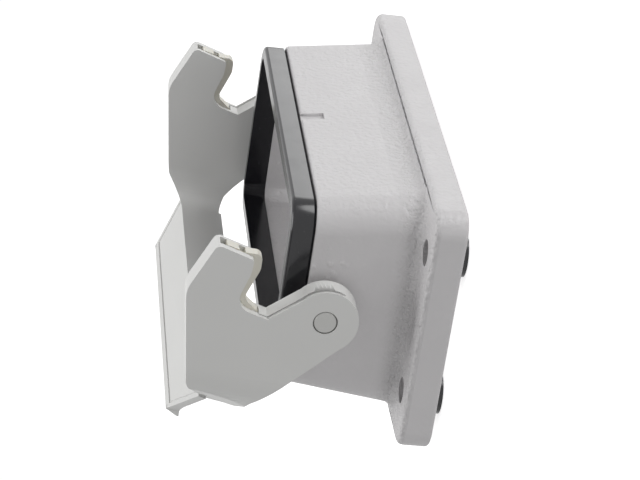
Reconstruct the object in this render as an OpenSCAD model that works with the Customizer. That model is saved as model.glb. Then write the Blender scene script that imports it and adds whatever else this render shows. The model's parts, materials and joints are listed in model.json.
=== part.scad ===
// Bulkhead housing of a heavy duty rectangular connector, with a single locking lever.
// X runs along the long side, +Z is the mating direction, and the origin is the centre
// of the panel face of the flange.

/* [Flange] */
// How far the mounting flange stands out beyond the ends of the body
flange_overhang_x = 11.75; // [11:0.25:20]
// How far the mounting flange stands out beyond the long sides of the body's rim
flange_overhang_y = 5.5; // [4.5:0.25:12]
// Thickness of the mounting flange
flange_thickness = 6.8; // [4:0.2:9]
// Plan radius of the flange corners
flange_corner_radius = 5; // [2:0.5:8]
// Rounding of the flange's front edge
flange_edge_radius = 1.4; // [0.4:0.1:2]
// Distance from the end of the body's rim out to the panel screws
panel_hole_gap = 4.75; // [4:0.25:8]
// Distance from the long side of the body's rim in to the panel screws
panel_hole_inset = 5.6; // [4:0.1:8]
// Diameter of the panel screw holes
panel_hole_diameter = 5.5; // [4.5:0.1:6.5]

/* [Body] */
// Length of the body at its rim
body_length = 93.5; // [88:0.5:126]
// Width of the body at its rim
body_width = 43.2; // [38:0.2:52]
// Height of the metal rim above the panel face
rim_height = 28.9; // [26:0.1:40]
// Plan radius of the body corners
body_corner_radius = 6.7; // [5:0.1:9]
// How far each end face leans out between rim and foot
end_draft = 0.4; // [0:0.1:1]
// How far each long face leans out between rim and foot
side_draft = 2.5; // [0:0.1:3]
// Fillet between the body and the flange
foot_fillet = 2; // [0.5:0.1:2.5]
// Wall thickness of the body at the rim
wall = 3.4; // [2.6:0.1:4.5]
// Length of the orientation notch below the rim
mark_length = 5; // [3:0.5:8]
// Width of the orientation notch
mark_width = 3.2; // [1:0.1:5]
// Depth of the orientation notch
mark_depth = 0.7; // [0.4:0.1:1.2]

/* [Insert posts] */
// Height of the posts that carry the contact insert
post_height = 14; // [8:0.5:20]
// Radius of the posts around their screw holes
post_radius = 4.2; // [3.4:0.1:5]
// Distance from the end of the body's rim in to the insert screws
insert_hole_inset_x = 8; // [7.5:0.1:10]
// Distance from the long side of the body's rim in to the insert screws
insert_hole_inset_y = 8.1; // [7.6:0.1:10]
// Diameter of the tapped insert holes
insert_hole_diameter = 3.3; // [2.5:0.1:4.2]
// Depth of the tapped insert holes
insert_hole_depth = 11; // [6:0.5:13]

/* [Rim gasket] */
// Height of the gasket above the metal rim
gasket_height = 5.1; // [3:0.1:7]
// How far the gasket's end faces stand back from the body
gasket_inset_x = 0.3; // [0:0.1:1]
// How far the gasket's long faces stand back from the body
gasket_inset_y = 0.7; // [0:0.1:1]
// Thickness of the gasket wall
gasket_wall = 2.9; // [2:0.1:3.6]
// Rounding of the gasket's lip
gasket_lip_radius = 0.8; // [0.3:0.1:1.2]
// Height of the shadow gap between the gasket's flank and the metal rim
gasket_neck_height = 0.6; // [0.3:0.1:1.2]
// Depth of that shadow gap
gasket_neck_depth = 0.5; // [0.2:0.1:0.8]
// Width of the key that holds the gasket in the rim
key_width = 1.2; // [0.8:0.1:1.6]
// Depth of that key
key_depth = 0.9; // [0.6:0.1:1.2]

/* [Panel gasket] */
// How far the panel gasket stands proud of the flange
panel_gasket_proud = 1.3; // [0.5:0.1:2]
// Width of the panel gasket's cord
panel_gasket_width = 3; // [2:0.1:3.2]
// Depth of its groove in the flange
panel_groove_depth = 1.2; // [0.6:0.1:2]
// Width of the land between the cavity and the groove
panel_land = 1.5; // [1:0.1:2]
// Radius of the eyelets around the panel screws
eyelet_radius = 4.3; // [3.8:0.1:5]

/* [Pivot] */
// Depth of the pivot axis below the metal rim
pivot_drop = 3.5; // [3.1:0.1:4.5]
// Diameter of the pivot pins
pin_diameter = 5; // [4:0.1:6]
// Radius of the cast bosses around the pins
boss_radius = 3.4; // [3:0.1:3.6]
// Length of each pin inside the housing
pin_seat = 5; // [3:0.1:5.2]
// Diameter of the pins inside the housing
pin_root_diameter = 3.6; // [3:0.1:4]
// Bevel on the pin heads
pin_bevel = 0.3; // [0:0.05:0.5]

/* [Lever] */
// Gap between the body's end face and the lever arm
arm_gap = 2.95; // [2:0.05:5]
// Thickness of each lever arm
arm_thickness = 5.5; // [4.8:0.1:7]
// Radius of the pivot eye
eye_radius = 6.9; // [5.8:0.1:7.5]
// Gap between the body's rim and the inner face of the bridge
bridge_gap = 3.3; // [2.4:0.1:8]
// Thickness of the bridge
bridge_thickness = 2.6; // [2:0.1:4]
// Height of the bridge's lower edge above the pivot when closed
bridge_low = 10.6; // [9.5:0.1:13]
// Height of the bridge's inner edge above the pivot when closed
bridge_high = 20.6; // [19:0.1:23]
// Outer corner radius between arm and bridge
corner_outer_radius = 12; // [9:0.5:14]
// Inner corner radius between arm and bridge
corner_inner_radius = 7; // [5:0.5:9]
// How far the finger lip reaches beyond the bridge's inner face
lip_reach = 9.4; // [6:0.1:12]
// How far the finger lip rises over that reach
lip_rise = 4.7; // [2:0.1:6]
// Half length of the finger lip at its edge
lip_half_length = 39.2; // [30:0.1:46]
// Thickness of the finger lip at its edge
lip_thickness = 2.8; // [1.8:0.1:3.2]
// Thickness of the lip's ends beside the rounded corners
lip_end_thickness = 2; // [1.4:0.1:2.6]
// Height of the hook's crown above the pivot when closed
crown_height = 29.3; // [28:0.1:31]
// How far the hook reaches across the pivot plane
hook_reach = 13.1; // [12.5:0.1:14.5]
// How far the lever leans in past its closed position at rest
rest_lean = 5.3; // [0:0.1:8]

/* [Hook insert] */
// Thickness of the hook insert
insert_thickness = 2.6; // [2:0.1:3.2]
// Thickness of the arm's inner wall beside the insert
inner_wall = 1.05; // [0.8:0.05:1.5]
// How far the insert's nose hangs below the arm's edge
nose_drop = 2.1; // [1:0.1:3.4]

/* [Clearances] */
// Running clearance of the pivot eyes on the pins
pivot_clearance = 0.05; // [0.02:0.01:0.1]
// Clearance of the pins in their seats
seat_clearance = 0.02; // [0:0.01:0.05]
// Side clearance between a boss and its lever arm
boss_clearance = 0.3; // [0.1:0.05:0.6]
// Clearance of the hook insert in its pocket
pocket_clearance = 0.1; // [0.05:0.05:0.3]
// Clearance around the gaskets in their grooves
groove_clearance = 0.1; // [0:0.05:0.3]

/* [Hidden] */
$fn = 64;
eps = 0.05;
corner_steps = 8;

body_x = body_length / 2;
body_y = body_width / 2;
flange_x = body_x + flange_overhang_x;
flange_y = body_y + flange_overhang_y;
panel_hole_x = body_x + panel_hole_gap;
panel_hole_y = body_y - panel_hole_inset;
insert_hole_x = body_x - insert_hole_inset_x;
insert_hole_y = body_y - insert_hole_inset_y;
bridge_reach = body_y + bridge_gap;
cavity_x = body_x - wall;
cavity_y = body_y - wall;
cavity_corner_radius = body_corner_radius - wall;
gasket_x = body_x - gasket_inset_x;
gasket_y = body_y - gasket_inset_y;
gasket_corner_radius = body_corner_radius - gasket_inset_y;
gasket_top = rim_height + gasket_height;
pivot_height = rim_height - pivot_drop;
arm_inner = body_x + arm_gap;
arm_outer = arm_inner + arm_thickness;
boss_end = arm_inner - boss_clearance;
pin_root = boss_end - pin_seat;
pin_radius = pin_diameter / 2;
groove_mid_x = cavity_x + panel_land + panel_gasket_width / 2;
groove_mid_y = cavity_y + panel_land + panel_gasket_width / 2;
groove_corner_radius = cavity_corner_radius + panel_land + panel_gasket_width / 2;

housing_grey = [0.80, 0.80, 0.79];
lever_grey = [0.66, 0.66, 0.65];
seal_black = [0.13, 0.13, 0.14];
insert_cream = [0.80, 0.78, 0.72];
pin_grey = [0.62, 0.63, 0.63];

// ---- outlines ---------------------------------------------------------------

function unit(v) = v / norm(v);
function heading(v) = atan2(v[1], v[0]);
function short_turn(a) = a > 180 ? a - 360 : a < -180 ? a + 360 : a;

// The arc that rounds the corner p between its neighbours, or p itself where r is 0.
function rounded_corner(before, p, after, r) =
    r == 0 ? [p] :
    let (
        u = unit(before - p),
        v = unit(after - p),
        half = acos(u * v) / 2,
        centre = p + unit(u + v) * r / sin(half),
        start = heading(p + u * r / tan(half) - centre),
        turn = short_turn(heading(p + v * r / tan(half) - centre) - start),
        steps = max(2, ceil(abs(turn) / 12))
    )
    [for (i = [0 : steps]) centre + r * [cos(start + turn * i / steps), sin(start + turn * i / steps)]];

// A closed outline through corners given as [x, y, radius].
function rounded_outline(corners) =
    let (n = len(corners), p = [for (c = corners) [c[0], c[1]]])
    [for (i = [0 : n - 1])
        each rounded_corner(p[(i + n - 1) % n], p[i], p[(i + 1) % n], corners[i][2])];

module rounded_rectangle(x, y, r) {
    square([2 * x, 2 * (y - r)], center = true);
    square([2 * (x - r), 2 * y], center = true);
    for (sx = [-1, 1], sy = [-1, 1]) {
        translate([sx * (x - r), sy * (y - r)])
            circle(r);
    }
}

module frame_outline(x, y, r, width) {
    difference() {
        rounded_rectangle(x + width / 2, y + width / 2, r + width / 2);
        rounded_rectangle(x - width / 2, y - width / 2, r - width / 2);
    }
}

// ---- lofts of rounded rectangles ----------------------------------------------

// One level of a loft: half sizes x and y, corner radius r, height z.
function level(x, y, r, z) =
    [for (q = [0 : 3], i = [0 : corner_steps])
        let (a = 90 * (q + i / corner_steps), sx = q == 0 || q == 3 ? 1 : -1, sy = q < 2 ? 1 : -1)
        [sx * (x - r) + r * cos(a), sy * (y - r) + r * sin(a), z]];

// A quarter round of radius r between a wall and a level face, as inset and height pairs.
function quarter_round(r, steps = 4) =
    [for (i = [0 : steps]) [r - r * cos(90 * i / steps), r * sin(90 * i / steps)]];

module loft(levels) {
    n = len(levels[0]);
    m = len(levels);
    points = [for (l = levels) each l];
    sides = [for (k = [0 : m - 2], i = [0 : n - 1])
        [k * n + i, (k + 1) * n + i, (k + 1) * n + (i + 1) % n, k * n + (i + 1) % n]];
    floor_face = [for (i = [0 : n - 1]) i];
    top_face = [for (i = [0 : n - 1]) m * n - 1 - i];
    polyhedron(points, concat([floor_face, top_face], sides));
}

// ---- housing ------------------------------------------------------------------

module housing_shell() {
    rear_edge = 0.8;
    rim_edge = 0.5;
    foot_x = body_x + end_draft;
    foot_y = body_y + side_draft;
    rear = [for (e = quarter_round(rear_edge, 3))
        level(flange_x - rear_edge + e[1], flange_y - rear_edge + e[1],
              flange_corner_radius - rear_edge + e[1], e[0])];
    front = [for (e = quarter_round(flange_edge_radius))
        level(flange_x - e[0], flange_y - e[0], flange_corner_radius - e[0],
              flange_thickness - flange_edge_radius + e[1])];
    fillet = [for (e = quarter_round(foot_fillet))
        level(foot_x + foot_fillet - e[1], foot_y + foot_fillet - e[1],
              body_corner_radius + foot_fillet - e[1], flange_thickness + e[0])];
    rim = [for (e = quarter_round(rim_edge, 3))
        level(body_x - e[0], body_y - e[0], body_corner_radius - e[0],
              rim_height - rim_edge + e[1])];
    loft(concat(rear, front, fillet, rim));
}

module pivot_boss(side) {
    boss_root = body_x - 0.2;
    translate([side * boss_root, 0, pivot_height])
        rotate([0, side * 90, 0])
            cylinder(r = boss_radius, h = boss_end - boss_root);
}

module insert_post(sx, sy) {
    x = insert_hole_x;
    y = insert_hole_y;
    translate([sx * x, sy * y, 0])
        cylinder(r = post_radius, h = post_height);
    translate([sx > 0 ? x : -cavity_x - eps, sy * y - post_radius, 0])
        cube([cavity_x + eps - x, 2 * post_radius, post_height]);
    translate([sx * x - post_radius, sy > 0 ? y : -cavity_y - eps, 0])
        cube([2 * post_radius, cavity_y + eps - y, post_height]);
}

module panel_groove() {
    translate([0, 0, -eps])
        linear_extrude(panel_groove_depth + groove_clearance + eps)
            frame_outline(groove_mid_x, groove_mid_y, groove_corner_radius,
                          panel_gasket_width + 2 * groove_clearance);
}

module rim_groove() {
    translate([0, 0, rim_height - key_depth - groove_clearance])
        linear_extrude(key_depth + 1)
            frame_outline(gasket_x - gasket_wall / 2, gasket_y - gasket_wall / 2,
                          gasket_corner_radius - gasket_wall / 2, key_width + 2 * groove_clearance);
}

module orientation_mark() {
    lean = atan(side_draft / (rim_height - flange_thickness));
    translate([0, body_y, rim_height])
        rotate([lean, 0, 0])
            translate([-mark_width / 2, -mark_depth, -mark_length])
                cube([mark_width, 2 * mark_depth, mark_length + mark_depth]);
}

module housing() {
    color(housing_grey)
    difference() {
        union() {
            difference() {
                union() {
                    housing_shell();
                    pivot_boss(-1);
                    pivot_boss(1);
                }
                translate([0, 0, -1])
                    linear_extrude(rim_height + 2)
                        rounded_rectangle(cavity_x, cavity_y, cavity_corner_radius);
            }
            for (sx = [-1, 1], sy = [-1, 1]) {
                insert_post(sx, sy);
            }
        }
        for (sx = [-1, 1], sy = [-1, 1]) {
            translate([sx * panel_hole_x, sy * panel_hole_y, -1])
                cylinder(d = panel_hole_diameter, h = flange_thickness + foot_fillet + 2);
            translate([sx * insert_hole_x, sy * insert_hole_y,
                       post_height - insert_hole_depth])
                cylinder(d = insert_hole_diameter, h = insert_hole_depth + 1);
        }
        for (side = [-1, 1]) {
            translate([side * pin_root, 0, pivot_height])
                rotate([0, side * 90, 0])
                    cylinder(r = pin_root_diameter / 2 + seat_clearance, h = pin_seat + 1);
        }
        panel_groove();
        rim_groove();
        orientation_mark();
    }
}

// ---- gaskets ------------------------------------------------------------------

module rim_gasket() {
    lip = quarter_round(gasket_lip_radius);
    neck = [
        [gasket_neck_depth, 0],
        [gasket_neck_depth, gasket_neck_height - 0.2],
        [0, gasket_neck_height]
    ];
    color(seal_black)
    union() {
        difference() {
            loft(concat(
                [for (e = neck)
                    level(gasket_x - e[0], gasket_y - e[0], gasket_corner_radius - e[0], rim_height + e[1])],
                [for (e = lip)
                    level(gasket_x - e[0], gasket_y - e[0], gasket_corner_radius - e[0],
                          gasket_top - gasket_lip_radius + e[1])]));
            translate([0, 0, rim_height - 1])
                linear_extrude(gasket_height + 2)
                    rounded_rectangle(gasket_x - gasket_wall, gasket_y - gasket_wall,
                                      gasket_corner_radius - gasket_wall);
        }
        translate([0, 0, rim_height - key_depth])
            linear_extrude(key_depth + gasket_height / 2)
                frame_outline(gasket_x - gasket_wall / 2, gasket_y - gasket_wall / 2,
                              gasket_corner_radius - gasket_wall / 2, key_width);
    }
}

module panel_gasket() {
    color(seal_black)
    difference() {
        union() {
            translate([0, 0, -panel_gasket_proud])
                linear_extrude(panel_gasket_proud + panel_groove_depth)
                    frame_outline(groove_mid_x, groove_mid_y, groove_corner_radius, panel_gasket_width);
            for (sx = [-1, 1], sy = [-1, 1]) {
                translate([sx * panel_hole_x, sy * panel_hole_y,
                           -panel_gasket_proud])
                    cylinder(r = eyelet_radius, h = panel_gasket_proud);
            }
        }
        for (sx = [-1, 1], sy = [-1, 1]) {
            translate([sx * panel_hole_x, sy * panel_hole_y,
                       -panel_gasket_proud - 1])
                cylinder(d = panel_hole_diameter + 0.3, h = panel_gasket_proud + panel_groove_depth + 2);
        }
    }
}

// ---- lever ----------------------------------------------------------------------
// The lever is drawn in its closed position about the pivot axis: the first
// coordinate of its outlines runs along Y and the second along Z.

// Corner of the notch that takes the hood's peg, on the line that just touches the eye.
notch_slope = 46.8;
notch_u = -1.5;
notch_w = (eye_radius - notch_u * cos(90 - notch_slope)) / sin(90 - notch_slope);
notch_touch = eye_radius * [sin(notch_slope), cos(notch_slope)];
notch_length = norm([notch_u, notch_w] - notch_touch);
// The straight edges end just inside the eye, so that they cross its round cleanly.
touch_inset = 0.98;
// Underside of the hook, where the peg is held down.
seat_w = 17.3;
pocket_top = seat_w + 7.2;
// The hook's crown, which falls gently to the bridge and steeply to the hook's end.
crown_u = 2;
crown_slope = 12;
hook_slope = 20.5;
hook_corner_w = crown_height - (hook_reach - crown_u) * tan(hook_slope);
crown_foot_u = -19.5;
crown_foot_w = crown_height - (crown_u - crown_foot_u) * tan(crown_slope);
// Direction of the arm's lower edge, which also touches the eye.
under_slope = 41.3;
under_touch = eye_radius * [-sin(under_slope), -cos(under_slope)];
under_u = under_touch[0] - (bridge_low - under_touch[1]) / tan(under_slope);
bridge_outer = -bridge_reach - bridge_thickness;
lip_edge = -bridge_reach - lip_reach;
lip_top = bridge_high + lip_rise;
lip_full = arm_outer - corner_outer_radius;
// Finger hollow under the lip, and its carry-over round the corners into the arms.
hollow_radius = 7.6;
scoop_heading = 57;
scoop_low = bridge_low - 0.4;

module arm_outline() {
    difference() {
        union() {
            circle(eye_radius);
            polygon(rounded_outline([
                [hook_reach, hook_corner_w, 1.3],
                [crown_u, crown_height, 6],
                [crown_foot_u, crown_foot_w, 3],
                [-bridge_reach, bridge_high, 0],
                [bridge_outer, bridge_high, 0],
                [bridge_outer, bridge_low + 2, 2],
                [under_u, bridge_low, 1],
                [touch_inset * under_touch[0], touch_inset * under_touch[1], 0],
                [0, 0, 0],
                [touch_inset * notch_touch[0], touch_inset * notch_touch[1], 0],
                [notch_u, notch_w, 0],
                [0.2, seat_w + 1.7, 3.4],
                [8, seat_w - 0.1, 5],
                [hook_reach - 2, seat_w - 0.1, 0.8]
            ]));
        }
        circle(pin_radius + pivot_clearance);
    }
}

// Cross-section of the bridge with its finger lip and the hollow under the lip.
module bridge_outline() {
    difference() {
        polygon(rounded_outline([
            [-bridge_reach, bridge_low, 0.4],
            [-bridge_reach, bridge_high, 0.6],
            [lip_edge, lip_top, 0.9],
            [lip_edge - 1.6, lip_top - lip_thickness - 0.2, 1.3],
            [lip_edge + 1.6, bridge_low + 4, 0],
            [bridge_outer, bridge_low + 1.4, 2.2]
        ]));
        translate([lip_edge - 0.3, lip_top - lip_thickness - hollow_radius - 0.2])
            circle(hollow_radius);
    }
}

// Cross-section of the thin ends of the lip, beside the flattened corners.
module lip_end_outline() {
    slope = atan(lip_rise / lip_reach);
    drop = lip_end_thickness * [sin(slope), cos(slope)];
    polygon([
        [-bridge_reach, bridge_high],
        [lip_edge, lip_top],
        [lip_edge, lip_top] - drop,
        [-bridge_reach, bridge_high] - drop
    ]);
}

module plan_outline() {
    difference() {
        translate([0, 10])
            rounded_rectangle(arm_outer, 10 - bridge_outer, corner_outer_radius);
        translate([0, 10])
            rounded_rectangle(arm_inner, 10 + bridge_reach, corner_inner_radius);
        translate([-arm_outer, hook_reach + 1])
            square([2 * arm_outer, 60]);
    }
}

module lip_plan() {
    slant_end = [lip_half_length + bridge_outer + 3 - lip_edge, bridge_outer + 3];
    polygon([
        [-lip_half_length, lip_edge - 2],
        [-lip_half_length, lip_edge],
        [-slant_end[0], slant_end[1]],
        [slant_end[0], slant_end[1]],
        [lip_half_length, lip_edge],
        [lip_half_length, lip_edge - 2]
    ]);
}

// Cutter that flattens the outer corner between arm and bridge, deeper towards the lip.
module corner_scoop(side) {
    r = corner_outer_radius;
    mirror([side < 0 ? 1 : 0, 0, 0])
        translate([arm_outer - r, bridge_outer + r, 0])
            rotate([0, 0, -scoop_heading])
                rotate([90, 0, 0])
                    translate([0, 0, -r])
                        linear_extrude(2 * r)
                            polygon([
                                [r, scoop_low],
                                [r - 0.35, scoop_low + 1.6],
                                [r - 0.95, scoop_low + 4.4],
                                [r - 1.3, scoop_low + 7.4],
                                [r - 1.7, scoop_low + 11],
                                [r - 1.9, scoop_low + 16],
                                [r + 9, scoop_low + 16],
                                [r + 9, scoop_low]
                            ]);
}

// Turns a lever outline into a plate between two X positions.
module across(x0, x1) {
    translate([x0, 0, 0])
        rotate([90, 0, 90])
            linear_extrude(x1 - x0)
                children();
}

module closed_lever() {
    difference() {
        intersection() {
            translate([0, 0, -eye_radius - 1])
                linear_extrude(crown_height + eye_radius + 2)
                    plan_outline();
            across(-arm_outer - 1, arm_outer + 1)
                arm_outline();
        }
        corner_scoop(-1);
        corner_scoop(1);
    }
    intersection() {
        translate([0, 0, -1])
            linear_extrude(lip_top + 2)
                lip_plan();
        union() {
            across(-lip_full, lip_full)
                bridge_outline();
            across(-arm_outer, arm_outer)
                lip_end_outline();
        }
    }
}

// Pocket between the arm's two walls, open at the hook's end and along the notch.
module insert_pocket(side) {
    x0 = arm_inner + inner_wall;
    x1 = x0 + insert_thickness + 2 * pocket_clearance;
    mirror([side < 0 ? 1 : 0, 0, 0])
        across(x0, x1)
            polygon([
                [hook_reach + 1, seat_w + 1.6],
                [hook_reach + 1, pocket_top],
                [9.5, pocket_top],
                [-1.6, pocket_top - 2],
                [-3.6, seat_w + 1.4],
                [-3.6, notch_w + 1.8],
                [0.5, notch_w + 1.8],
                [5, 13],
                [12, seat_w - nose_drop]
            ]);
}

// Narrow gap between the arm's walls along its upper edge, from the notch round the eye.
module edge_groove(side) {
    depth = 1.3;
    x0 = arm_outer - 1.5;
    ring_end = 25;
    mirror([side < 0 ? 1 : 0, 0, 0])
        across(x0, x0 + 0.5) {
            rotate(-notch_slope)
                translate([-notch_length, eye_radius - depth])
                    square([notch_length, depth + 1]);
            translate([notch_u - depth, notch_w - depth / 2])
                square([depth + 0.8, 2.6]);
            intersection() {
                difference() {
                    circle(eye_radius + 1);
                    circle(eye_radius - depth);
                }
                polygon([
                    [0, 0],
                    2 * notch_touch,
                    2 * eye_radius * [1, 0],
                    2 * eye_radius * [cos(ring_end), -sin(ring_end)]
                ]);
            }
        }
}

module locking_lever() {
    color(lever_grey)
    translate([0, 0, pivot_height])
        rotate([-rest_lean, 0, 0])
            difference() {
                closed_lever();
                for (side = [-1, 1]) {
                    insert_pocket(side);
                    edge_groove(side);
                }
            }
}

// ---- hook inserts -----------------------------------------------------------------

module hook_insert(side) {
    x0 = arm_inner + inner_wall + pocket_clearance;
    nose = seat_w - nose_drop;
    tongue = hook_reach - 0.4;
    color(insert_cream)
    translate([0, 0, pivot_height])
        rotate([-rest_lean, 0, 0])
            mirror([side < 0 ? 1 : 0, 0, 0])
                across(x0, x0 + insert_thickness)
                    polygon(rounded_outline([
                        [-0.8, notch_w + 2.1, 0.3],
                        [1.6, seat_w - 0.1, 1.8],
                        [8.4, nose, 3],
                        [hook_reach - 1.3, nose + 0.3, 1.4],
                        [hook_reach - 1.4, seat_w + 1.8, 0],
                        [hook_reach - 2.4, seat_w + 2, 0.4],
                        [hook_reach - 2.1, seat_w + 3, 0.4],
                        [tongue - 0.5, seat_w + 3.1, 0.3],
                        [tongue, seat_w + 5.9, 0.3],
                        [tongue - 1.8, seat_w + 6, 0],
                        [tongue - 2, pocket_top - 0.1, 0],
                        [-1.3, pocket_top - 2.3, 1],
                        [-3.4, seat_w + 1.2, 1],
                        [-3.4, notch_w + 2.1, 0.3]
                    ]));
}

module hook_insert_right() {
    hook_insert(1);
}

module hook_insert_left() {
    hook_insert(-1);
}

// ---- pivot pins -----------------------------------------------------------------

module pivot_pin(side) {
    length = arm_outer - pin_root;
    color(pin_grey)
    translate([side * pin_root, 0, pivot_height])
        rotate([0, side * 90, 0]) {
            cylinder(d = pin_root_diameter, h = length - pin_bevel);
            translate([0, 0, pin_seat + seat_clearance])
                cylinder(r = pin_radius, h = length - pin_bevel - pin_seat - seat_clearance);
            translate([0, 0, length - pin_bevel])
                cylinder(r1 = pin_radius, r2 = pin_radius - pin_bevel, h = pin_bevel);
        }
}

module pivot_pin_right() {
    pivot_pin(1);
}

module pivot_pin_left() {
    pivot_pin(-1);
}

housing();
rim_gasket();
panel_gasket();
locking_lever();
hook_insert_right();
hook_insert_left();
pivot_pin_right();
pivot_pin_left();
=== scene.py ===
"""Bulkhead housing of a heavy duty rectangular connector, with its locking lever: finishes, the
lever's rounded edges and the studio stage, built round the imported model. Laid out as an add-on
and run as a script."""

import json
import math

import bmesh
import bpy
from mathutils import Matrix, Vector


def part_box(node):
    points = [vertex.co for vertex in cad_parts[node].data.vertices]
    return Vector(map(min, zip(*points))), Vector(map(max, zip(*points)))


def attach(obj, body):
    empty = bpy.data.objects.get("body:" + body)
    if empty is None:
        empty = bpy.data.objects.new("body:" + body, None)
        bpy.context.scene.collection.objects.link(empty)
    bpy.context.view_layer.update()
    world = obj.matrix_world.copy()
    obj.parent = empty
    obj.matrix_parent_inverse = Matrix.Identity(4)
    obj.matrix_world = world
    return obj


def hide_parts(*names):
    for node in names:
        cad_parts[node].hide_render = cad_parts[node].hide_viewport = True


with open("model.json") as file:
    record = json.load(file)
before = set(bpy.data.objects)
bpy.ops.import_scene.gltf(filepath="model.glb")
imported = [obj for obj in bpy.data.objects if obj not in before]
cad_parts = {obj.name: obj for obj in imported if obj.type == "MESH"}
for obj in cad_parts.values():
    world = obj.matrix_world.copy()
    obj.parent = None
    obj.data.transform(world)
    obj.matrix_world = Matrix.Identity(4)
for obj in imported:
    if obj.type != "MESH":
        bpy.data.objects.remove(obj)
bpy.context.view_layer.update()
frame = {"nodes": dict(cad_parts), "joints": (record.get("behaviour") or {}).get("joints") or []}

bl_info = {
    "name": "Rectangular Connector Housing",
    "version": (1, 0, 0),
    "blender": (4, 5, 0),
    "location": "View3D > Sidebar > Housing",
    "description": "Dresses a connector housing: coat, seals, locking lever and studio stage",
    "category": "Object",
}

MM = 0.001
PIVOT_HEIGHT = frame["joints"][0]["pos_m"][2]
LEVER_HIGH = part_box("locking_lever")[1]
PANEL_SEAL_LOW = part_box("panel_gasket")[0]

# Cleaning of a copied mesh: points closer than the weld are one, and faces that turn by less
# than the flat angle are one.
WELD_DISTANCE = 0.002 * MM
SLIVER_LENGTH = 0.004 * MM
FLAT_ANGLE = math.radians(0.6)

# The label face is the largest whose normal has more than these Z and Y parts. Its three free
# sides, the long edge and the two slanted ends, are those that face -Y by more than FREE_SIDE_Y.
LABEL_NORMAL_Z = 0.5
LABEL_NORMAL_Y = 0.3
FREE_SIDE_Y = -0.1
FREE_SIDES = 3
CUT_TOLERANCE = 0.0001 * MM

# The lever's outer skin is every point this close to its greatest width.
SKIN_TOLERANCE = 0.02 * MM
SKIN_SEGMENTS = 4
FEWEST_SKIN_EDGES = 20

# The inserts' edges are rounded where they are sharper than this angle, in degrees.
INSERT_ROUNDING = 0.15 * MM
INSERT_SEGMENTS = 2
INSERT_EDGE_ANGLE = 60

# Coat: the size of its patterns, and the heights above the panel between which they fade.
PATCH_SIZE = 11 * MM
LUMP_SIZE = 1.5 * MM
BLOB_SPACING = 2.2 * MM
FLANGE_FRONT, LUMPS_FULL_FROM = 5.6 * MM, 7.0 * MM
LUMPS_FULL_TO, LUMPS_END = 8.5 * MM, 12.5 * MM
BLOBS_START, BLOBS_FULL_FROM = 17.0 * MM, 25.0 * MM

LEVER_FLOW_SIZE = 22 * MM
LEVER_GRAIN_SIZE = 0.25 * MM
LEVER_GRAIN_DEPTH = 0.004 * MM

SEAL_MARK_SIZE = 5 * MM
SEAL_MARK_DEPTH = 0.01 * MM
DUST_SIZE = 0.5 * MM
DUST_COLOUR = "#8A8A90"

INSERT_FLOW_SIZE = 3 * MM
INSERT_FLOW_DEPTH = 0.008 * MM

RING_PITCH = 1.885 * MM
RING_DEPTH = 0.003 * MM
BLOT_SIZE = 1.5 * MM
# The wave texture turns through this many radians in one unit of length at scale 1.
WAVE_RATE = 20

FLOOR_REACH = 40.0
FLOOR_GAP = 0.05 * MM
FLOOR_COLOUR = "#F8F8F8"
# The floor's own glow and the fill light on it add up to white; only shadow falls below that.
FLOOR_GLOW = 0.7

LAMP_DISTANCE = 1.1
# Each lamp's name, heading from the object, share of the key lamp's power, width in metres, and
# whether it shows in gloss.
LAMPS = (
    ("key_lamp", (0.03, 0.90, -0.42), 1.0, 0.7, True),
    ("rim_side_lamp", (0.0, 0.02, 1.0), 1.07, 0.7, True),
    ("end_fill_lamp", (1.0, 0.10, -0.25), 0.24, 0.4, False),
    ("grazing_lamp", (-0.88, 0.46, -0.14), 0.15, 0.5, True),
)

CAMERA_PLACE = Vector((508.067, 234.276, 99.476)) * MM
CAMERA_RIGHT = Vector((0.08639, 0.14030, -0.98633))
CAMERA_AHEAD = Vector((-0.89400, -0.42599, -0.13889))
SENSOR_WIDTH = 36
CLIP_START, CLIP_END = 0.01, 200


# ---- helpers --------------------------------------------------------------------------------


def linear(hex_colour):
    """sRGB hex, such as "#C8C8C6", as linear RGBA."""
    channels = [int(hex_colour[i : i + 2], 16) / 255 for i in (1, 3, 5)]
    toned = [c / 12.92 if c <= 0.04045 else ((c + 0.055) / 1.055) ** 2.4 for c in channels]
    return (*toned, 1.0)


def shaded(colour, factor):
    """A linear colour made darker or lighter by a factor, and no brighter than white."""
    return (*(min(1.0, channel * factor) for channel in colour[:3]), 1.0)


def add_node(owner, kind, settings=None, links=None):
    """Adds one shader node to a material or world. Settings are properties or input values, and
    links give an input's name and the output socket that feeds it."""
    node = owner.node_tree.nodes.new(kind)
    for name, value in (settings or {}).items():
        if isinstance(name, str) and name not in node.inputs:
            setattr(node, name, value)
        else:
            node.inputs[name].default_value = value
    for name, socket in (links or {}).items():
        owner.node_tree.links.new(socket, node.inputs[name])
    return node


def new_material(name):
    """An empty node material and its Principled shader, wired to the output."""
    material = bpy.data.materials.new(name)
    material.use_nodes = True
    material.node_tree.nodes.clear()
    shader = add_node(material, "ShaderNodeBsdfPrincipled")
    add_node(material, "ShaderNodeOutputMaterial", links={"Surface": shader.outputs["BSDF"]})
    return material, shader


def connect(material, socket_out, socket_in):
    material.node_tree.links.new(socket_out, socket_in)


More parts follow.
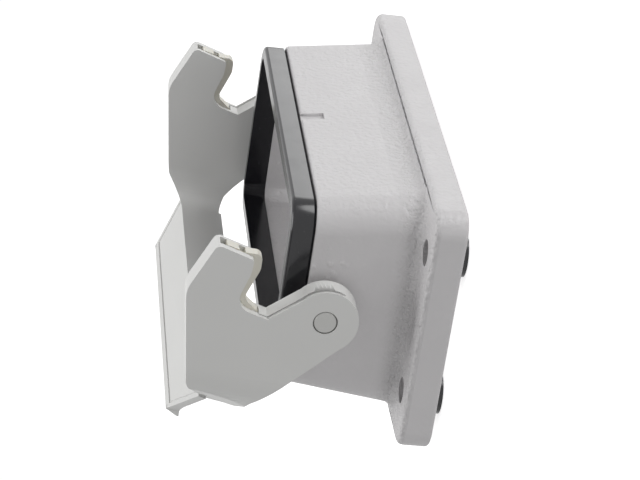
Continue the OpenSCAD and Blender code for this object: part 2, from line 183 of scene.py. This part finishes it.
def cast_copy(node, name):
    """A welded, closed copy of a CAD node's mesh whose flat faces are whole again."""
    mesh = frame["nodes"][node].data.copy()
    mesh.name = name
    mesh.materials.clear()
    form = bmesh.new()
    form.from_mesh(mesh)
    bmesh.ops.remove_doubles(form, verts=form.verts, dist=WELD_DISTANCE)
    bmesh.ops.dissolve_degenerate(form, edges=form.edges, dist=SLIVER_LENGTH)
    bmesh.ops.dissolve_limit(
        form,
        angle_limit=FLAT_ANGLE,
        verts=form.verts,
        edges=form.edges,
        use_dissolve_boundaries=False,
    )
    # Welding closes a hair-thin slit and leaves one face hanging in it by an open edge.
    hanging = [f for f in form.faces if any(len(e.link_faces) == 1 for e in f.edges)]
    bmesh.ops.delete(form, geom=hanging, context="FACES")
    if any(len(edge.link_faces) != 2 for edge in form.edges):
        raise RuntimeError(f"the mesh of {node} is not closed")
    return mesh, form


def round_edges(form, width, segments, chosen, sharper_than=32):
    """Rounds the chosen edges that are sharper than the given angle, in degrees, and returns
    how many there were."""
    limit = math.radians(sharper_than)
    edges = [e for e in form.edges if e.is_manifold and e.calc_face_angle(0) > limit and chosen(e)]
    bmesh.ops.bevel(
        form,
        geom=edges,
        offset=width,
        offset_type="OFFSET",
        segments=segments,
        profile=0.5,
        affect="EDGES",
        clamp_overlap=True,
        loop_slide=True,
        miter_outer="ARC",
    )
    return len(edges)


def free_sides(label):
    """A corner and the outward direction of each free side of the lever's label face."""
    sides = []
    for loop in label.loops:
        along = loop.link_loop_next.vert.co - loop.vert.co
        outward = along.cross(label.normal).normalized()
        if outward.y < FREE_SIDE_Y:
            sides.append((loop.vert.co.copy(), outward))
    return sides


def cut_parallel(form, patch, sides, distances):
    """Cuts a patch of faces parallel to each side, at each distance from it."""
    for corner, outward in sides:
        for distance in distances:
            geometry = {part for face in patch for part in (face, *face.edges, *face.verts)}
            cut = bmesh.ops.bisect_plane(
                form,
                geom=list(geometry),
                plane_co=corner - outward * distance,
                plane_no=outward,
                dist=CUT_TOLERANCE,
            )
            patch = [part for part in cut["geom"] if isinstance(part, bmesh.types.BMFace)]
    return patch


def set_in_order(form):
    """Sorts the mesh's points, edges and faces by place. Cutting leaves them in a chance order,
    and every run has to give the same mesh. Parts found before it no longer hold after it."""

    def points(part):
        return sorted(tuple(vert.co) for vert in part.verts)

    def point(vert):
        return tuple(vert.co)

    for parts, place in ((form.verts, point), (form.edges, points), (form.faces, points)):
        rank = {part: number for number, part in enumerate(sorted(parts, key=place))}
        parts.sort(key=rank.get)
        parts.index_update()


def sink_field_groove(form, inset, width, depth):
    """Sinks a narrow groove along the free edge and the slanted ends of the lever's label face."""
    label = max(
        (f for f in form.faces if f.normal.z > LABEL_NORMAL_Z and f.normal.y > LABEL_NORMAL_Y),
        key=lambda f: f.calc_area(),
    )
    normal = label.normal.copy()
    sides = free_sides(label)
    patch = cut_parallel(form, [label], sides, (inset, inset + width))

    def gap(face):
        middle = face.calc_center_median()
        return min((corner - middle).dot(outward) for corner, outward in sides)

    groove = [face for face in patch if inset < gap(face) < inset + width]
    if len(sides) != FREE_SIDES or len(groove) < FREE_SIDES:
        raise RuntimeError("the label face's free edges were not found")
    sunk = bmesh.ops.extrude_face_region(form, geom=groove)["geom"]
    bmesh.ops.delete(form, geom=groove, context="FACES_ONLY")
    moved = [part for part in sunk if isinstance(part, bmesh.types.BMVert)]
    bmesh.ops.translate(form, verts=moved, vec=-normal * depth)
    set_in_order(form)


def finish_piece(mesh, form, material, body, node, crease=30):
    """Turns the form into a piece that rides on its body and stands for its CAD node."""
    bmesh.ops.recalc_face_normals(form, faces=form.faces)
    form.to_mesh(mesh)
    form.free()
    for face in mesh.polygons:
        face.use_smooth = True
    mesh.set_sharp_from_angle(angle=math.radians(crease))
    mesh.materials.append(material)
    piece = bpy.data.objects.new(mesh.name, mesh)
    bpy.context.scene.collection.objects.link(piece)
    weighted = piece.modifiers.new("Even shading", "WEIGHTED_NORMAL")
    weighted.mode = "FACE_AREA_WITH_ANGLE"
    weighted.keep_sharp = True
    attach(piece, body)
    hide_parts(node)


# ---- settings -------------------------------------------------------------------------------


class HousingFinish(bpy.types.PropertyGroup):
    """Sizes and colours of the cast housing and its pins."""

    coat_colour: bpy.props.StringProperty(
        name="Coat colour", description="sRGB hex of the powder coat", default="#D6D4D5"
    )
    wrinkle_size: bpy.props.FloatProperty(
        name="Wrinkle size",
        description="Width of one wrinkle of the coat",
        default=1.1 * MM,
        unit="LENGTH",
    )
    wrinkle_depth: bpy.props.FloatProperty(
        name="Wrinkle depth",
        description="Height of the coat's wrinkles",
        default=0.3 * MM,
        unit="LENGTH",
    )
    lump_depth: bpy.props.FloatProperty(
        name="Lump depth",
        description="Height of the lumps at the foot of the body",
        default=1.1 * MM,
        unit="LENGTH",
    )
    blob_depth: bpy.props.FloatProperty(
        name="Blob depth",
        description="Height of the blobs of pooled coat",
        default=0.2 * MM,
        unit="LENGTH",
    )
    pin_colour: bpy.props.StringProperty(
        name="Pin colour", description="sRGB hex of the plated pins", default="#A2A2A0"
    )


class SealFinish(bpy.types.PropertyGroup):
    """Colours of the seals."""

    seal_colour: bpy.props.StringProperty(
        name="Seal colour", description="sRGB hex of the moulded seals", default="#19191D"
    )


class LeverFinish(bpy.types.PropertyGroup):
    """Sizes and colours of the locking lever and its hook inserts."""

    lever_colour: bpy.props.StringProperty(
        name="Lever colour", description="sRGB hex of the moulded lever", default="#DEDEDC"
    )
    insert_colour: bpy.props.StringProperty(
        name="Insert colour", description="sRGB hex of the hook inserts", default="#DAD7CC"
    )
    skin_width: bpy.props.FloatProperty(
        name="Skin rounding",
        description="Rounding of the arms' outer edges",
        default=0.9 * MM,
        unit="LENGTH",
    )
    field_inset: bpy.props.FloatProperty(
        name="Field inset",
        description="Distance of the label field's groove from the edge",
        default=1.2 * MM,
        unit="LENGTH",
    )
    field_groove: bpy.props.FloatProperty(
        name="Field groove",
        description="Width of the label field's groove",
        default=0.5 * MM,
        unit="LENGTH",
    )
    field_depth: bpy.props.FloatProperty(
        name="Field depth",
        description="Depth of the label field's groove",
        default=0.25 * MM,
        unit="LENGTH",
    )


class StudioSettings(bpy.types.PropertyGroup):
    """Light and camera."""

    sky_strength: bpy.props.FloatProperty(
        name="Fill", description="Strength of the even fill light", default=0.35
    )
    key_strength: bpy.props.FloatProperty(
        name="Key", description="Power of the large soft lamp", default=5.75, unit="POWER"
    )
    focal_length: bpy.props.FloatProperty(
        name="Focal length",
        description="Lens of the camera, in millimetres",
        default=142.84,
        unit="CAMERA",
    )


# ---- materials ------------------------------------------------------------------------------


def wrinkle_powder_coat(settings):
    """Polyester powder coat baked on die-cast aluminium: a pale grey skin of soft wrinkles about a
    millimetre wide, lumpier where the casting's foot fillet is rough, with a low even sheen, and
    small raised blobs near the rim of the ends whose paleness is a painted highlight."""
    material, shader = new_material("wrinkle_powder_coat_on_die_cast_aluminium")
    place = add_node(material, "ShaderNodeTexCoord").outputs["Object"]
    height = add_node(material, "ShaderNodeSeparateXYZ", links={"Vector": place}).outputs["Z"]
    facing = add_node(material, "ShaderNodeTexCoord").outputs["Normal"]
    along = add_node(material, "ShaderNodeSeparateXYZ", links={"Vector": facing}).outputs["X"]
    end_facing = add_node(
        material, "ShaderNodeMath", {"operation": "MULTIPLY"}, {0: along, 1: along}
    ).outputs["Value"]
    patches = add_node(
        material,
        "ShaderNodeTexNoise",
        {"Scale": 1 / PATCH_SIZE, "Detail": 4.0, "Roughness": 0.6},
        {"Vector": place},
    ).outputs["Fac"]

    # Wrinkles cover all faces and fade to a quarter on the two ends.
    wrinkles = add_node(
        material,
        "ShaderNodeTexNoise",
        {"Scale": 1 / settings.wrinkle_size, "Detail": 2.0, "Roughness": 0.45, "Distortion": 0.3},
        {"Vector": place},
    )
    wrinkle_share = add_node(
        material,
        "ShaderNodeMapRange",
        {"From Min": 0.2, "From Max": 0.8, "To Min": 1.0, "To Max": 0.25},
        {"Value": end_facing},
    )
    wrinkle_height = add_node(
        material,
        "ShaderNodeMath",
        {"operation": "MULTIPLY"},
        {0: wrinkles.outputs["Fac"], 1: wrinkle_share.outputs["Result"]},
    )

    # Lumps keep to a band a few millimetres high round the foot of the body.
    lumps = add_node(
        material,
        "ShaderNodeTexNoise",
        {"Scale": 1 / LUMP_SIZE, "Detail": 3.0, "Roughness": 0.62},
        {"Vector": place},
    )
    below_body = add_node(
        material,
        "ShaderNodeMapRange",
        {"From Min": LUMPS_END, "From Max": LUMPS_FULL_TO, "To Min": 0.0, "To Max": 1.0},
        {"Value": height},
    )
    above_flange = add_node(
        material,
        "ShaderNodeMapRange",
        {"From Min": FLANGE_FRONT, "From Max": LUMPS_FULL_FROM, "To Min": 0.0, "To Max": 1.0},
        {"Value": height},
    )
    foot = add_node(
        material,
        "ShaderNodeMath",
        {"operation": "MULTIPLY"},
        {0: below_body.outputs["Result"], 1: above_flange.outputs["Result"]},
    )
    lump_height = add_node(
        material,
        "ShaderNodeMath",
        {"operation": "MULTIPLY"},
        {0: lumps.outputs["Fac"], 1: foot.outputs["Value"]},
    )

    # Small raised blobs of pooled coat stand in patches near the rim of the two end faces. They
    # are also painted paler, a painted highlight for the glints on their tops.
    cells = add_node(
        material,
        "ShaderNodeTexVoronoi",
        {"Scale": 1 / BLOB_SPACING, "Randomness": 1.0},
        {"Vector": place},
    )
    blobs = add_node(
        material,
        "ShaderNodeMapRange",
        {
            "interpolation_type": "SMOOTHSTEP",
            "From Min": 0.36,
            "From Max": 0.1,
            "To Min": 0.0,
            "To Max": 1.0,
        },
        {"Value": cells.outputs["Distance"]},
    )
    near_rim = add_node(
        material,
        "ShaderNodeMapRange",
        {"From Min": BLOBS_START, "From Max": BLOBS_FULL_FROM, "To Min": 0.0, "To Max": 1.0},
        {"Value": height},
    )
    on_ends = add_node(
        material,
        "ShaderNodeMath",
        {"operation": "MULTIPLY"},
        {0: near_rim.outputs["Result"], 1: end_facing},
    )
    in_patches = add_node(
        material,
        "ShaderNodeMapRange",
        {"From Min": 0.5, "From Max": 0.62, "To Min": 0.0, "To Max": 1.0},
        {"Value": patches},
    )
    blob_share = add_node(
        material,
        "ShaderNodeMath",
        {"operation": "MULTIPLY"},
        {0: on_ends.outputs["Value"], 1: in_patches.outputs["Result"]},
    )
    blob_height_and_glint = add_node(
        material,
        "ShaderNodeMath",
        {"operation": "MULTIPLY"},
        {0: blobs.outputs["Result"], 1: blob_share.outputs["Value"]},
    ).outputs["Value"]

    # The colour drifts in patches at random, and a blob is painted as pale as the palest patch, a
    # painted highlight for its glint.
    drift_and_glint = add_node(
        material,
        "ShaderNodeMath",
        {"operation": "ADD", "use_clamp": True},
        {0: patches, 1: blob_height_and_glint},
    )
    tint = add_node(
        material, "ShaderNodeMix", {"data_type": "RGBA"}, {"Factor": drift_and_glint.outputs["Value"]}
    )
    base = linear(settings.coat_colour)
    tint.inputs["A"].default_value = shaded(base, 0.93)
    tint.inputs["B"].default_value = shaded(base, 1.05)
    connect(material, tint.outputs["Result"], shader.inputs["Base Color"])
    sheen = add_node(
        material,
        "ShaderNodeMapRange",
        {"From Min": 0.3, "From Max": 0.7, "To Min": 0.34, "To Max": 0.52},
        {"Value": patches},
    )
    connect(material, sheen.outputs["Result"], shader.inputs["Roughness"])

    pooled = add_node(
        material,
        "ShaderNodeBump",
        {"Strength": 1.0, "Distance": settings.blob_depth},
        {"Height": blob_height_and_glint},
    )
    fine = add_node(
        material,
        "ShaderNodeBump",
        {"Strength": 1.0, "Distance": settings.wrinkle_depth},
        {"Height": wrinkle_height.outputs["Value"], "Normal": pooled.outputs["Normal"]},
    )
    coarse = add_node(
        material,
        "ShaderNodeBump",
        {"Strength": 1.0, "Distance": settings.lump_depth},
        {"Height": lump_height.outputs["Value"], "Normal": fine.outputs["Normal"]},
    )
    connect(material, coarse.outputs["Normal"], shader.inputs["Normal"])
    shader.inputs["IOR"].default_value = 1.5
    return material


def glass_filled_polyamide(settings):
    """Glass-filled polyamide, injection moulded in a spark-eroded mould: an even satin grey with a
    barely visible grain and a faint drift of tone along the flow."""
    material, shader = new_material("glass_filled_polyamide_moulded_satin")
    place = add_node(material, "ShaderNodeTexCoord").outputs["Object"]
    flow = add_node(
        material,
        "ShaderNodeTexNoise",
        {"Scale": 1 / LEVER_FLOW_SIZE, "Detail": 2.0, "Roughness": 0.5},
        {"Vector": place},
    )
    tint = add_node(
        material, "ShaderNodeMix", {"data_type": "RGBA"}, {"Factor": flow.outputs["Fac"]}
    )
    base = linear(settings.lever_colour)
    tint.inputs["A"].default_value = shaded(base, 0.97)
    tint.inputs["B"].default_value = shaded(base, 1.03)
    connect(material, tint.outputs["Result"], shader.inputs["Base Color"])
    # Spark erosion leaves a grain of about 0.05 mm; it is drawn at 0.25 mm so that it can show.
    grain = add_node(
        material,
        "ShaderNodeTexNoise",
        {"Scale": 1 / LEVER_GRAIN_SIZE, "Detail": 2.0, "Roughness": 0.6},
        {"Vector": place},
    )
    bump = add_node(
        material,
        "ShaderNodeBump",
        {"Strength": 1.0, "Distance": LEVER_GRAIN_DEPTH},
        {"Height": grain.outputs["Fac"]},
    )
    connect(material, bump.outputs["Normal"], shader.inputs["Normal"])
    shader.inputs["Roughness"].default_value = 0.42
    shader.inputs["IOR"].default_value = 1.53
    return material


def moulded_nitrile_rubber(settings):
    """Nitrile rubber, compression moulded in a polished mould: near black and glossy where it is
    smooth, with faint dust and flow marks that break the reflections."""
    material, shader = new_material("nitrile_rubber_moulded_glossy")
    place = add_node(material, "ShaderNodeTexCoord").outputs["Object"]
    marks = add_node(
        material,
        "ShaderNodeTexNoise",
        {"Scale": 1 / SEAL_MARK_SIZE, "Detail": 4.0, "Roughness": 0.6},
        {"Vector": place},
    )
    gloss = add_node(
        material,
        "ShaderNodeMapRange",
        {"From Min": 0.3, "From Max": 0.75, "To Min": 0.14, "To Max": 0.24},
        {"Value": marks.outputs["Fac"]},
    )
    connect(material, gloss.outputs["Result"], shader.inputs["Roughness"])
    dust = add_node(
        material,
        "ShaderNodeTexNoise",
        {"Scale": 1 / DUST_SIZE, "Detail": 1.0, "Roughness": 0.4},
        {"Vector": place},
    )
    specks = add_node(
        material,
        "ShaderNodeMapRange",
        {"From Min": 0.74, "From Max": 0.8, "To Min": 0.0, "To Max": 0.22},
        {"Value": dust.outputs["Fac"]},
    )
    tint = add_node(
        material, "ShaderNodeMix", {"data_type": "RGBA"}, {"Factor": specks.outputs["Result"]}
    )
    tint.inputs["A"].default_value = linear(settings.seal_colour)
    tint.inputs["B"].default_value = linear(DUST_COLOUR)
    connect(material, tint.outputs["Result"], shader.inputs["Base Color"])
    bump = add_node(
        material,
        "ShaderNodeBump",
        {"Strength": 1.0, "Distance": SEAL_MARK_DEPTH},
        {"Height": marks.outputs["Fac"]},
    )
    connect(material, bump.outputs["Normal"], shader.inputs["Normal"])
    shader.inputs["IOR"].default_value = 1.52
    return material


def natural_acetal(settings):
    """Natural acetal, injection moulded: a milky cream that lets a little light in, waxy and
    smooth."""
    material, shader = new_material("natural_acetal_moulded_smooth")
    place = add_node(material, "ShaderNodeTexCoord").outputs["Object"]
    flow = add_node(
        material,
        "ShaderNodeTexNoise",
        {"Scale": 1 / INSERT_FLOW_SIZE, "Detail": 3.0, "Roughness": 0.5},
        {"Vector": place},
    )
    tint = add_node(
        material, "ShaderNodeMix", {"data_type": "RGBA"}, {"Factor": flow.outputs["Fac"]}
    )
    base = linear(settings.insert_colour)
    tint.inputs["A"].default_value = shaded(base, 0.94)
    tint.inputs["B"].default_value = shaded(base, 1.04)
    connect(material, tint.outputs["Result"], shader.inputs["Base Color"])
    bump = add_node(
        material,
        "ShaderNodeBump",
        {"Strength": 1.0, "Distance": INSERT_FLOW_DEPTH},
        {"Height": flow.outputs["Fac"]},
    )
    connect(material, bump.outputs["Normal"], shader.inputs["Normal"])
    shader.inputs["Roughness"].default_value = 0.32
    shader.inputs["IOR"].default_value = 1.48
    shader.inputs["Subsurface Weight"].default_value = 0.15
    shader.inputs["Subsurface Radius"].default_value = (1.0, 0.8, 0.6)
    shader.inputs["Subsurface Scale"].default_value = 0.6 * MM
    return material


def plated_turned_steel(settings):
    """Turned steel, zinc plated and passivated: a dull even grey with a faint trace of turning."""
    material, shader = new_material("turned_steel_zinc_plated_dull")
    place = add_node(material, "ShaderNodeTexCoord").outputs["Object"]
    centred = add_node(
        material,
        "ShaderNodeVectorMath",
        {"operation": "SUBTRACT", 1: (0.0, 0.0, PIVOT_HEIGHT)},
        {0: place},
    )
    # Turning leaves rings of about 0.1 mm, too fine to show; they are drawn 1.9 mm apart.
    rings = add_node(
        material,
        "ShaderNodeTexWave",
        {
            "wave_type": "RINGS",
            "rings_direction": "X",
            "Scale": 2 * math.pi / (WAVE_RATE * RING_PITCH),
            "Distortion": 0.4,
        },
        {"Vector": centred.outputs["Vector"]},
    )
    bump = add_node(
        material,
        "ShaderNodeBump",
        {"Strength": 1.0, "Distance": RING_DEPTH},
        {"Height": rings.outputs["Fac"]},
    )
    connect(material, bump.outputs["Normal"], shader.inputs["Normal"])
    shader.inputs["Base Color"].default_value = linear(settings.pin_colour)
    shader.inputs["Metallic"].default_value = 1.0
    blot = add_node(
        material, "ShaderNodeTexNoise", {"Scale": 1 / BLOT_SIZE, "Detail": 2.0}, {"Vector": place}
    )
    dull = add_node(
        material,
        "ShaderNodeMapRange",
        {"To Min": 0.38, "To Max": 0.55},
        {"Value": blot.outputs["Fac"]},
    )
    connect(material, dull.outputs["Result"], shader.inputs["Roughness"])
    return material


def backdrop_paper():
    """Matt white backdrop paper: white and without gloss, so that only shadow shows on it."""
    material, shader = new_material("matt_white_backdrop_paper")
    shader.inputs["Base Color"].default_value = linear(FLOOR_COLOUR)
    shader.inputs["Roughness"].default_value = 0.9
    shader.inputs["Specular IOR Level"].default_value = 0.0
    shader.inputs["Emission Color"].default_value = (1.0, 1.0, 1.0, 1.0)
    shader.inputs["Emission Strength"].default_value = FLOOR_GLOW
    return material


# ---- operators ------------------------------------------------------------------------------


class CONNECTOR_OT_cast_housing(bpy.types.Operator):
    """Coats the die-cast housing"""

    bl_idname = "connector.cast_housing"
    bl_label = "Cast housing"

    def execute(self, context):
        settings = context.scene.housing_finish
        material = wrinkle_powder_coat(settings)
        mesh, form = cast_copy("housing", "cast_housing")
        finish_piece(mesh, form, material, "housing", "housing", crease=28)
        return {"FINISHED"}


class CONNECTOR_OT_pivot_pins(bpy.types.Operator):
    """Plates the two pivot pins"""

    bl_idname = "connector.pivot_pins"
    bl_label = "Pivot pins"

    def execute(self, context):
        settings = context.scene.housing_finish
        material = plated_turned_steel(settings)
        for node in ("pivot_pin_right", "pivot_pin_left"):
            mesh, form = cast_copy(node, node.replace("pivot_pin", "turned_pin"))
            finish_piece(mesh, form, material, "housing", node, crease=25)
        return {"FINISHED"}


class CONNECTOR_OT_seals(bpy.types.Operator):
    """Moulds the rim seal and the panel seal"""

    bl_idname = "connector.seals"
    bl_label = "Seals"

    def execute(self, context):
        settings = context.scene.seal_finish
        material = moulded_nitrile_rubber(settings)
        for node, name in (("rim_gasket", "rim_seal"), ("panel_gasket", "panel_seal")):
            mesh, form = cast_copy(node, name)
            finish_piece(mesh, form, material, "housing", node, crease=35)
        return {"FINISHED"}


class CONNECTOR_OT_locking_lever(bpy.types.Operator):
    """Moulds the locking lever, with the rounded skin of its arms and its label field"""

    bl_idname = "connector.locking_lever"
    bl_label = "Locking lever"

    def execute(self, context):
        settings = context.scene.lever_finish
        material = glass_filled_polyamide(settings)
        mesh, form = cast_copy("locking_lever", "moulded_lever")
        skin = LEVER_HIGH.x - SKIN_TOLERANCE

        def on_skin(edge):
            return all(abs(v.co.x) > skin for v in edge.verts)

        count = round_edges(form, settings.skin_width, SKIN_SEGMENTS, on_skin)
        if count < FEWEST_SKIN_EDGES:
            raise RuntimeError("the lever's outer edges were not found")
        sink_field_groove(form, settings.field_inset, settings.field_groove, settings.field_depth)
        finish_piece(mesh, form, material, "lever", "locking_lever")
        return {"FINISHED"}


class CONNECTOR_OT_hook_inserts(bpy.types.Operator):
    """Moulds the two hook inserts"""

    bl_idname = "connector.hook_inserts"
    bl_label = "Hook inserts"

    def execute(self, context):
        settings = context.scene.lever_finish
        material = natural_acetal(settings)
        for node in ("hook_insert_right", "hook_insert_left"):
            mesh, form = cast_copy(node, node.replace("hook_insert", "acetal_hook"))
            round_edges(
                form,
                INSERT_ROUNDING,
                INSERT_SEGMENTS,
                lambda edge: True,
                sharper_than=INSERT_EDGE_ANGLE,
            )
            finish_piece(mesh, form, material, "lever", node)
        return {"FINISHED"}


class CONNECTOR_OT_studio(bpy.types.Operator):
    """Sets the pale floor, the white surround, the soft lamps and the camera"""

    bl_idname = "connector.studio"
    bl_label = "Studio"

    def execute(self, context):
        settings = context.scene.studio_settings
        self.floor(context)
        self.light(context, settings)
        self.camera(context, settings)
        return {"FINISHED"}

    def floor(self, context):
        """A wide pale sheet under the panel seal, white apart from the object's shadow. Only the
        camera sees it: lamps, fill light and reflections pass it, because the key lamp stands
        below its plane."""
        mesh = bpy.data.meshes.new("pale_floor")
        sheet = bmesh.new()
        bmesh.ops.create_grid(sheet, x_segments=1, y_segments=1, size=FLOOR_REACH)
        sheet.to_mesh(mesh)
        sheet.free()
        mesh.materials.append(backdrop_paper())
        floor = bpy.data.objects.new("pale_floor", mesh)
        floor.location.z = PANEL_SEAL_LOW.z - FLOOR_GAP
        floor.visible_shadow = False
        floor.visible_diffuse = False
        floor.visible_glossy = False
        floor.visible_transmission = False
        context.scene.collection.objects.link(floor)

    def light(self, context, settings):
        """A dim even surround that looks white in itself, and the soft lamps listed in LAMPS."""
        world = bpy.data.worlds.new("white_tent")
        context.scene.world = world
        world.use_nodes = True
        world.node_tree.nodes.clear()
        ray = add_node(world, "ShaderNodeLightPath")
        seen = add_node(
            world,
            "ShaderNodeMath",
            {"operation": "MAXIMUM"},
            {0: ray.outputs["Is Camera Ray"], 1: ray.outputs["Is Transmission Ray"]},
        )
        # Gloss shows the white surround too, or seals and pins would mirror a dim grey.
        shown = add_node(
            world,
            "ShaderNodeMath",
            {"operation": "MAXIMUM"},
            {0: seen.outputs["Value"], 1: ray.outputs["Is Glossy Ray"]},
        )
        strength = add_node(
            world,
            "ShaderNodeMapRange",
            {"To Min": settings.sky_strength, "To Max": 1.0},
            {"Value": shown.outputs["Value"]},
        )
        sky = add_node(
            world,
            "ShaderNodeBackground",
            {"Color": (1, 1, 1, 1)},
            {"Strength": strength.outputs["Result"]},
        )
        add_node(world, "ShaderNodeOutputWorld", links={"Surface": sky.outputs["Background"]})
        for name, heading, share, size, in_gloss in LAMPS:
            place = Vector(heading).normalized() * LAMP_DISTANCE
            lamp = self.lamp(context, name, place, size, share * settings.key_strength)
            lamp.visible_glossy = in_gloss

    def lamp(self, context, name, place, size, power):
        """A round soft lamp aimed at the origin, which the camera doesn't see."""
        data = bpy.data.lights.new(name, "AREA")
        data.shape = "DISK"
        data.size = size
        data.energy = power
        lamp = bpy.data.objects.new(name, data)
        lamp.location = place
        lamp.rotation_euler = (-place).to_track_quat("-Z", "Y").to_euler()
        lamp.visible_camera = False
        context.scene.collection.objects.link(lamp)
        return lamp

    def camera(self, context, settings):
        """The camera, placed and turned by its right and forward directions."""
        data = bpy.data.cameras.new("view_camera")
        data.lens = settings.focal_length
        data.sensor_width = SENSOR_WIDTH
        data.clip_start = CLIP_START
        data.clip_end = CLIP_END
        camera = bpy.data.objects.new("view_camera", data)
        right = CAMERA_RIGHT.normalized()
        ahead = CAMERA_AHEAD.normalized()
        up = right.cross(ahead).normalized()
        turn = Matrix((right, up, -ahead)).transposed().to_4x4()
        camera.matrix_world = Matrix.Translation(CAMERA_PLACE) @ turn
        context.scene.collection.objects.link(camera)
        context.scene.camera = camera
        context.scene.view_settings.view_transform = "Standard"


class CONNECTOR_PT_pieces(bpy.types.Panel):
    """Lists the housing's pieces and their settings"""

    bl_label = "Connector housing"
    bl_idname = "CONNECTOR_PT_pieces"
    bl_space_type = "VIEW_3D"
    bl_region_type = "UI"
    bl_category = "Housing"

    def draw(self, context):
        for group, operators in PANEL_ROWS:
            box = self.layout.box()
            settings = getattr(context.scene, group)
            for name in settings.__annotations__:
                box.prop(settings, name)
            for operator in operators:
                box.operator(operator)


PANEL_ROWS = (
    ("housing_finish", ("connector.cast_housing", "connector.pivot_pins")),
    ("seal_finish", ("connector.seals",)),
    ("lever_finish", ("connector.locking_lever", "connector.hook_inserts")),
    ("studio_settings", ("connector.studio",)),
)

SETTINGS = {
    "housing_finish": HousingFinish,
    "seal_finish": SealFinish,
    "lever_finish": LeverFinish,
    "studio_settings": StudioSettings,
}

CLASSES = (
    *SETTINGS.values(),
    CONNECTOR_OT_cast_housing,
    CONNECTOR_OT_pivot_pins,
    CONNECTOR_OT_seals,
    CONNECTOR_OT_locking_lever,
    CONNECTOR_OT_hook_inserts,
    CONNECTOR_OT_studio,
    CONNECTOR_PT_pieces,
)


def register():
    for cls in CLASSES:
        bpy.utils.register_class(cls)
    for name, group in SETTINGS.items():
        setattr(bpy.types.Scene, name, bpy.props.PointerProperty(type=group))


def unregister():
    for name in SETTINGS:
        delattr(bpy.types.Scene, name)
    for cls in reversed(CLASSES):
        bpy.utils.unregister_class(cls)


def main():
    register()
    bpy.ops.connector.studio()
    bpy.ops.connector.cast_housing()
    bpy.ops.connector.pivot_pins()
    bpy.ops.connector.seals()
    bpy.ops.connector.locking_lever()
    bpy.ops.connector.hook_inserts()


if __name__ == "__main__":
    main()
